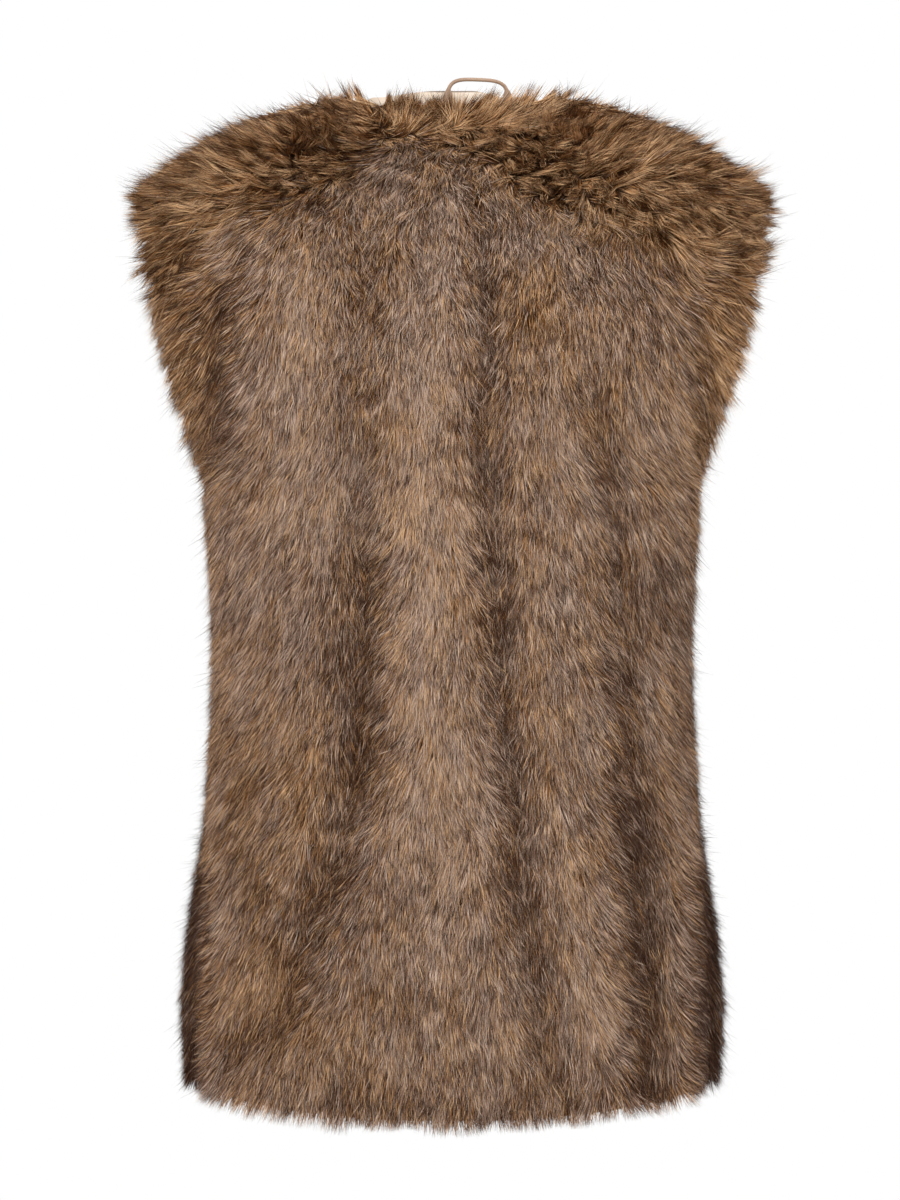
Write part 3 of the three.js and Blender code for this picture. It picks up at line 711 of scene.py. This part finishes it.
def grow(name, panel, count, low, high, hair, start, mirrored=False):
    """Fur on part of a panel: hairs strewn, gathered into locks, combed, trimmed and given a width."""
    rng = np.random.default_rng(start)
    s, height = strew(panel, count, low, high, start)
    root, out, across, down, _ = panel.lie(s, height)
    look = combing(panel, root, s, height)
    root = root + out * ROOT_DEPTH
    lie = (root, out, across, down)
    locks, lock_draws = gather(s * HALF_WIDTH, height, *hair["lock"], start + 1)
    wisps, wisp_draws = gather(s * HALF_WIDTH, height, *WISP, start + 2)
    own = rng.normal(0, 1, (5, len(s)))
    guard = rng.uniform(0, 1, len(s)) < look["guard"]
    stray = rng.uniform(0, 1, len(s)) < look["stray"]
    turn = look["turn"] + (lock_draws[:, 0] - 0.5) * 2 * look["mess"] + own[0] * look["scatter"]
    crossing = rng.uniform(0, 1, len(s)) < look["crossing"]
    turn = np.where(crossing, np.sign(turn) * (CROSSING_TURN[0] + CROSSING_TURN[1] * own[0]), turn)
    lift = (lock_draws[:, 1] - 0.5) * look["lift"] + own[1] * look["scatter"] / 2 + stray * 20
    lean = np.clip(look["lean"] - lift, 8, 86)
    length = look["length"] * (1 + 0.12 * own[2]) * (1 + 0.2 * stray) * lerp(0.8, 1.2, lock_draws[:, 2])
    pull = locks * look["clump"] + wisps * WISP_PULL
    tip = hair_tips(lie, turn, lean, np.maximum(length, 6)) + pull[:, :1] * across - pull[:, 1:] * down
    hang = HANG + 4 * patches(s * HALF_WIDTH, height, 9, start + 3)
    tip = trimmed(panel, tip, lie, s, height, hang)
    light = look["light"] + look["patchy"] * (lock_draws[:, 2] - 0.5)
    light = np.where(stray, 0.03, light + 0.6 * (wisp_draws[:, 0] - 0.5) + 0.54 * own[3])
    golden = rng.uniform(0, 1, len(s)) < look["gold"]
    shade = 0.5 + np.where(golden, -0.5, 0.5) * np.clip(light, 0.02, 1)
    wide = hair["wide"] * np.clip(1 + 0.25 * own[4], 0.5, 1.6) * np.where(stray, 0.8, 1)
    roll = np.clip(rng.normal(0, 45, len(s)), -80, 80)
    points = hair_points(root, tip, out, roll, wide)
    faces = np.arange(len(points)).reshape(-1, 3)
    if mirrored:
        points[:, 0] *= -1
        faces = faces[:, ::-1]
    piece = new_piece(name, points, faces, [fur], hair_map(shade, guard), "OFBake")
    piece.data.shade_smooth()
    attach(piece, "root")
    return piece


YOKE_FROM = KNOTS[8] - 5
back_fur = [
    grow("back_pile_lower", back, 186000, HEM_START, YOKE_FROM * 0.5, BODY_HAIR, 1),
    grow("back_pile_upper", back, 186000, YOKE_FROM * 0.5, YOKE_FROM, BODY_HAIR, 200001),
    grow("back_pile_shoulders", back, 160000, YOKE_FROM, TOP, SHOULDER_HAIR, 400001),
]

# The fronts: two panels of the same fur, mirror images in their cut, sewn to the back at the sides
# and the shoulders. They swell a little past the side seams at the hem, and their plain edges
# stand beside each other down the middle.
FRONT_TROUGHS = [
    (66, -190, 60, -420, 18, 5),
    (60, -420, 84, -690, 20, 4),
    (122, -330, 136, -600, 20, 5),
    (160, -175, 164, -262, 13, 6),
]
# Dark bands of the fronts: x and z of each end, half width and strength. They lie along the troughs and the
# armhole crease, partly the fur's own darker stripes and partly painted shade there.
FRONT_DARK_AND_SHADE = [
    (66, -190, 60, -420, 16, 0.6),
    (60, -420, 84, -690, 18, 0.8),
    (122, -330, 136, -600, 18, 0.7),
    (160, -175, 164, -262, 11, 0.8),
    # painted shade: the side of the front, seen turning away past the back's side seam
    (188, -440, 196, -720, 40, 1.9),
]
FRONT_LIGHT = [
    (30, -300, 34, -680, 18, 0.6),
    (94, -260, 104, -640, 16, 0.6),
]
FRONT_GOLD = [(30, -240, 40, -420, 30, 0.25)]


def front_rings(s):
    """The right front's rings at the shares s, from the side to the opening: a Bezier in plan."""
    r = RINGS
    along, deep = end_handle(r["front"] - r["front_edge"], r["edge"], r["turn"])
    handle = r["open"] + FULLNESS * (r["edge"] - r["open"])
    x = bezier(r["edge"], r["edge"] - along + r["flare"], handle, r["open"], s)
    y = bezier(r["front_edge"], r["front_edge"] + deep, r["front"], r["front"], s)
    return np.stack([x, y, r["z"] + 0 * x], -1)


def front_columns(s):
    """Twelve points of each column: ten rings, one over the shoulder and one at the shoulder seam."""
    rings = front_rings(s)
    top = shoulder_seam(1 - s)
    return np.concatenate([rings, [over_shoulder(rings[-1], top, lerp(BULGE_TIP, BULGE_FRONT, s)), top]])


front = Panel(
    front_columns, 0, lambda s: 1 - s, SEAM_GAP / 2, FRONT_TROUGHS, FRONT_DARK_AND_SHADE, FRONT_LIGHT, FRONT_GOLD
)
for side, start in (("right", 600001), ("left", 800001)):
    mirrored = side == "left"
    front_wall = make_wall(f"front_{side}_cloth", front, 26, 61, mirrored)
    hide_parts(f"front_{side}")
    low_fur = grow(f"front_{side}_pile", front, 138000, HEM_START, YOKE_FROM, BODY_HAIR, start, mirrored)
    high_fur = grow(
        f"front_{side}_pile_shoulder", front, 45000, YOKE_FROM, TOP, SHOULDER_HAIR, start + 7, mirrored
    )

# The back neck facing: a curved strip of cream satin inside the back neck. It is sewn along the neckline,
# and its folded upper edge stands above the fur, with a thin line of painted shadow along it.
FACING_SHARE = 4 / 18  # half the facing's width, as a share of the half back
FACING_DROP = 87.4  # its lower edge below the neckline
FACING_RISE = 12.5
FACING_GAP, FACING_THICK = 0.55, 1.2
FACING_COLUMNS = 81


def facing_points():
    """The strip's two sheets: the back's cloth moved in along its normal, upright above the neckline."""
    below = TOP - FACING_DROP * (1 - np.linspace(0, 1, 24) ** 0.7)
    rise = np.linspace(0, FACING_RISE, 8)[1:]
    height = np.concatenate([below, np.full(len(rise), TOP)])
    reach = np.linspace(-1, 1, FACING_COLUMNS)
    kept = (1 - 0.55 * smooth(-reach, 0.1, 0.75) - 0.45 * smooth(reach, 0.15, 0.45))
    kept = kept * (1 - smooth(np.abs(reach), 0.7, 0.9))
    lift = np.outer(kept, np.concatenate([0 * below, rise])).ravel()
    s, height = np.meshgrid(reach * FACING_SHARE, height, indexing="ij")
    s, height = s.ravel(), height.ravel()
    point, out, *_ = back.lie(s, height)
    level = unit(point * ((NECK_DEPTH / NECK_HALF) ** 2, 1, 0))
    out = unit(lerp(out, level, smooth(height, TOP - 17.5, TOP)[:, None]))
    place = point + lift[:, None] * np.array([0, 0, 1])
    sheets = [place - out * FACING_GAP, place - out * (FACING_GAP + FACING_THICK)]
    strip_map = np.stack([point[:, 0], height - TOP + lift], -1) * MM
    return np.concatenate(sheets), np.tile(strip_map, (2, 1)), 24 + len(rise)


def satin_finish(name, pale, deep, edge_height=None):
    """Satin: a soft sheen, slight puckers along the strip, painted lighter on their crests and darker in
    their hollows, and, if asked, a thin line of painted shadow at its top edge.
    """
    finish = Finish(name)
    along, up = finish.map_axes("strip")
    pucker = finish.grain(45, detail=1, stretch=(1.6, 1, 0.25))
    threads = (along * (2 * math.pi / 0.0004)).sine() * 0.08
    # painted light and shade: pale on the puckers' crests, deep in their hollows
    colour = finish.mix(deep, pale, finish.step(pucker, 0.1, 0.6))
    if edge_height:
        # painted shadow: a thin dark line along the folded top edge
        colour = finish.mix(colour, tone(98, 76, 60), finish.step(up, edge_height - 0.0012, edge_height))
    return finish.surface({
        "Base Color": colour, "Roughness": 0.34, "Specular IOR Level": 0.6,
        "Sheen Weight": 0.3, "Sheen Roughness": 0.4,
        "Normal": finish.bump(pucker + threads, 0.35, 0.002),
    })


strip_points, strip_map, strip_rows = facing_points()
strip_faces, _ = wall_faces(FACING_COLUMNS, strip_rows)
facing_satin = satin_finish(
    "cream_satin", tone(226, 209, 190), tone(200, 180, 158), (FACING_RISE - 0.2) * MM
)
facing = new_piece("neck_facing", strip_points, strip_faces, [facing_satin], strip_map, "strip")
facing.data.shade_smooth()
facing.data.set_sharp_from_angle(angle=math.radians(50))
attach(facing, "root")
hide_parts("back_neck_facing")

# The hanger loop: a narrow strip of light brown satin, folded and stitched into a soft tube.
# It arches above the neckline, and its pressed ends are sewn to the outer side of the facing.
LOOP_LEFT, LOOP_RIGHT = -3, 39
LOOP_LIFT, LOOP_TOP = 3, -6.5
LOOP_CORNER = 0.5
LOOP_GAP = 0.4
LOOP_TUBE = 1.35
FOOT_WIDE, FOOT_THICK = 3.2, 0.75
LOOP_STEPS, LOOP_SIDES = 96, 20


def loop_line(share):
    """An arch over the neckline: a superellipse in x and z that keeps to the neckline in y."""
    angle = np.pi * (1 - share)
    middle, reach = (LOOP_LEFT + LOOP_RIGHT) / 2, (LOOP_RIGHT - LOOP_LEFT) / 2
    x = middle + reach * np.sign(np.cos(angle)) * np.abs(np.cos(angle)) ** LOOP_CORNER
    seam = back_neckline(np.arcsin(x / NECK_HALF))
    z = lerp(seam[:, 2] + LOOP_LIFT, LOOP_TOP, np.sin(angle).clip(0) ** LOOP_CORNER)
    return np.stack([x, seam[:, 1] + FACING_GAP - LOOP_GAP - LOOP_TUBE, z], -1)


def loop_points():
    """Rings round the arch, oval where it is pressed flat, with a centre point at each end."""
    share = np.linspace(0, 1, LOOP_STEPS + 1)
    line = loop_line(share)
    ahead = unit(np.gradient(line, axis=0))
    side = unit(np.cross(ahead, np.array([0, 1.0, 0])))
    front_way = unit(np.cross(side, ahead))
    rounded = smooth(np.sin(np.pi * share), 0.05, 0.45)
    wide = lerp(FOOT_WIDE, LOOP_TUBE, rounded)[:, None, None]
    thick = lerp(FOOT_THICK, LOOP_TUBE, rounded)[:, None, None]
    turn = (2 * np.pi * np.arange(LOOP_SIDES) / LOOP_SIDES)[None, :, None]
    rings = line[:, None] + side[:, None] * wide * np.cos(turn) + front_way[:, None] * thick * np.sin(turn)
    around = np.minimum(np.arange(LOOP_SIDES), LOOP_SIDES - np.arange(LOOP_SIDES)) / LOOP_SIDES
    length = np.concatenate([[0], np.cumsum(np.linalg.norm(np.diff(line, axis=0), axis=1))])
    places = np.stack(np.meshgrid(length, around * 9, indexing="ij"), -1).reshape(-1, 2) * MM
    ends = np.array([[length[0], 0], [length[-1], 0]]) * MM
    return np.concatenate([rings.reshape(-1, 3), line[[0, -1]]]), np.concatenate([places, ends])


def loop_faces():
    """Triangles between the rings, and a fan of them over each end."""
    ids = np.arange((LOOP_STEPS + 1) * LOOP_SIDES).reshape(-1, LOOP_SIDES)
    beside = np.roll(ids, -1, axis=1)
    a, b, c, d = ids[:-1], ids[1:], beside[1:], beside[:-1]
    tube = np.concatenate([np.stack([a, b, c], -1), np.stack([a, c, d], -1)]).reshape(-1, 3)
    start, end = ids.size + 0 * ids[0], ids.size + 1 + 0 * ids[0]
    caps = [np.stack([start, ids[0], beside[0]], -1), np.stack([end, beside[-1], ids[-1]], -1)]
    return np.concatenate([tube, *caps])


line_points, line_map = loop_points()
loop_satin = satin_finish("brown_satin", tone(156, 126, 102), tone(106, 80, 60))
loop = new_piece("hanging_loop", line_points, loop_faces(), [loop_satin], line_map, "strip")
loop.data.shade_smooth()
loop.data.set_sharp_from_angle(angle=math.radians(60))
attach(loop, "root")
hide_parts("hanger_loop")

# The studio: a pale floor far below the hem, a white surround, a large soft key light above the
# camera and a weaker one on each side. The camera stands level, 2.2 m behind the vest.
FLOOR_Z = -1.4
CAMERA = (-0.00144, -2.2, -0.371)
PICTURE_HEIGHT = 0.864  # what the picture takes in at the vest's mid depth

bpy.ops.mesh.primitive_circle_add(vertices=96, radius=3.0, fill_type="NGON", location=(0, 0, FLOOR_Z))
floor = bpy.context.object
floor.name = "floor"
paper = Finish("paper_floor")
floor.data.materials.append(paper.surface({"Base Color": tone(236, 235, 232), "Roughness": 0.9}))

surround = bpy.data.worlds.new("surround")
surround.use_nodes = True
surround.node_tree.nodes["Background"].inputs["Color"].default_value = (1, 1, 1, 1)
surround.node_tree.nodes["Background"].inputs["Strength"].default_value = 1.0
bpy.context.scene.world = surround


def soft_light(name, place, aim, size, power):
    """A square area light at a place, turned towards its aim."""
    lamp = bpy.data.lights.new(name, "AREA")
    lamp.size = size
    lamp.energy = power
    light = bpy.data.objects.new(name, lamp)
    light.location = place
    light.rotation_euler = (Vector(aim) - Vector(place)).to_track_quat("-Z", "Y").to_euler()
    bpy.context.scene.collection.objects.link(light)


soft_light("key", (-0.9, -2.4, 1.3), (0, 0, -0.3), 1.2, 60)
soft_light("fill_right", (2.4, -1.2, 0.4), (0, 0, -0.35), 1.5, 16)
soft_light("fill_front", (0.6, 2.6, 0.9), (0, 0, -0.35), 1.5, 30)

lens = bpy.data.cameras.new("camera")
lens.sensor_width = 36
lens.lens = 18 / (PICTURE_HEIGHT / 2 / -CAMERA[1])
camera = bpy.data.objects.new("camera", lens)
camera.location = CAMERA
camera.rotation_euler = (math.pi / 2, 0, 0)
bpy.context.scene.collection.objects.link(camera)
bpy.context.scene.camera = camera
bpy.context.scene.view_settings.view_transform = "Standard"
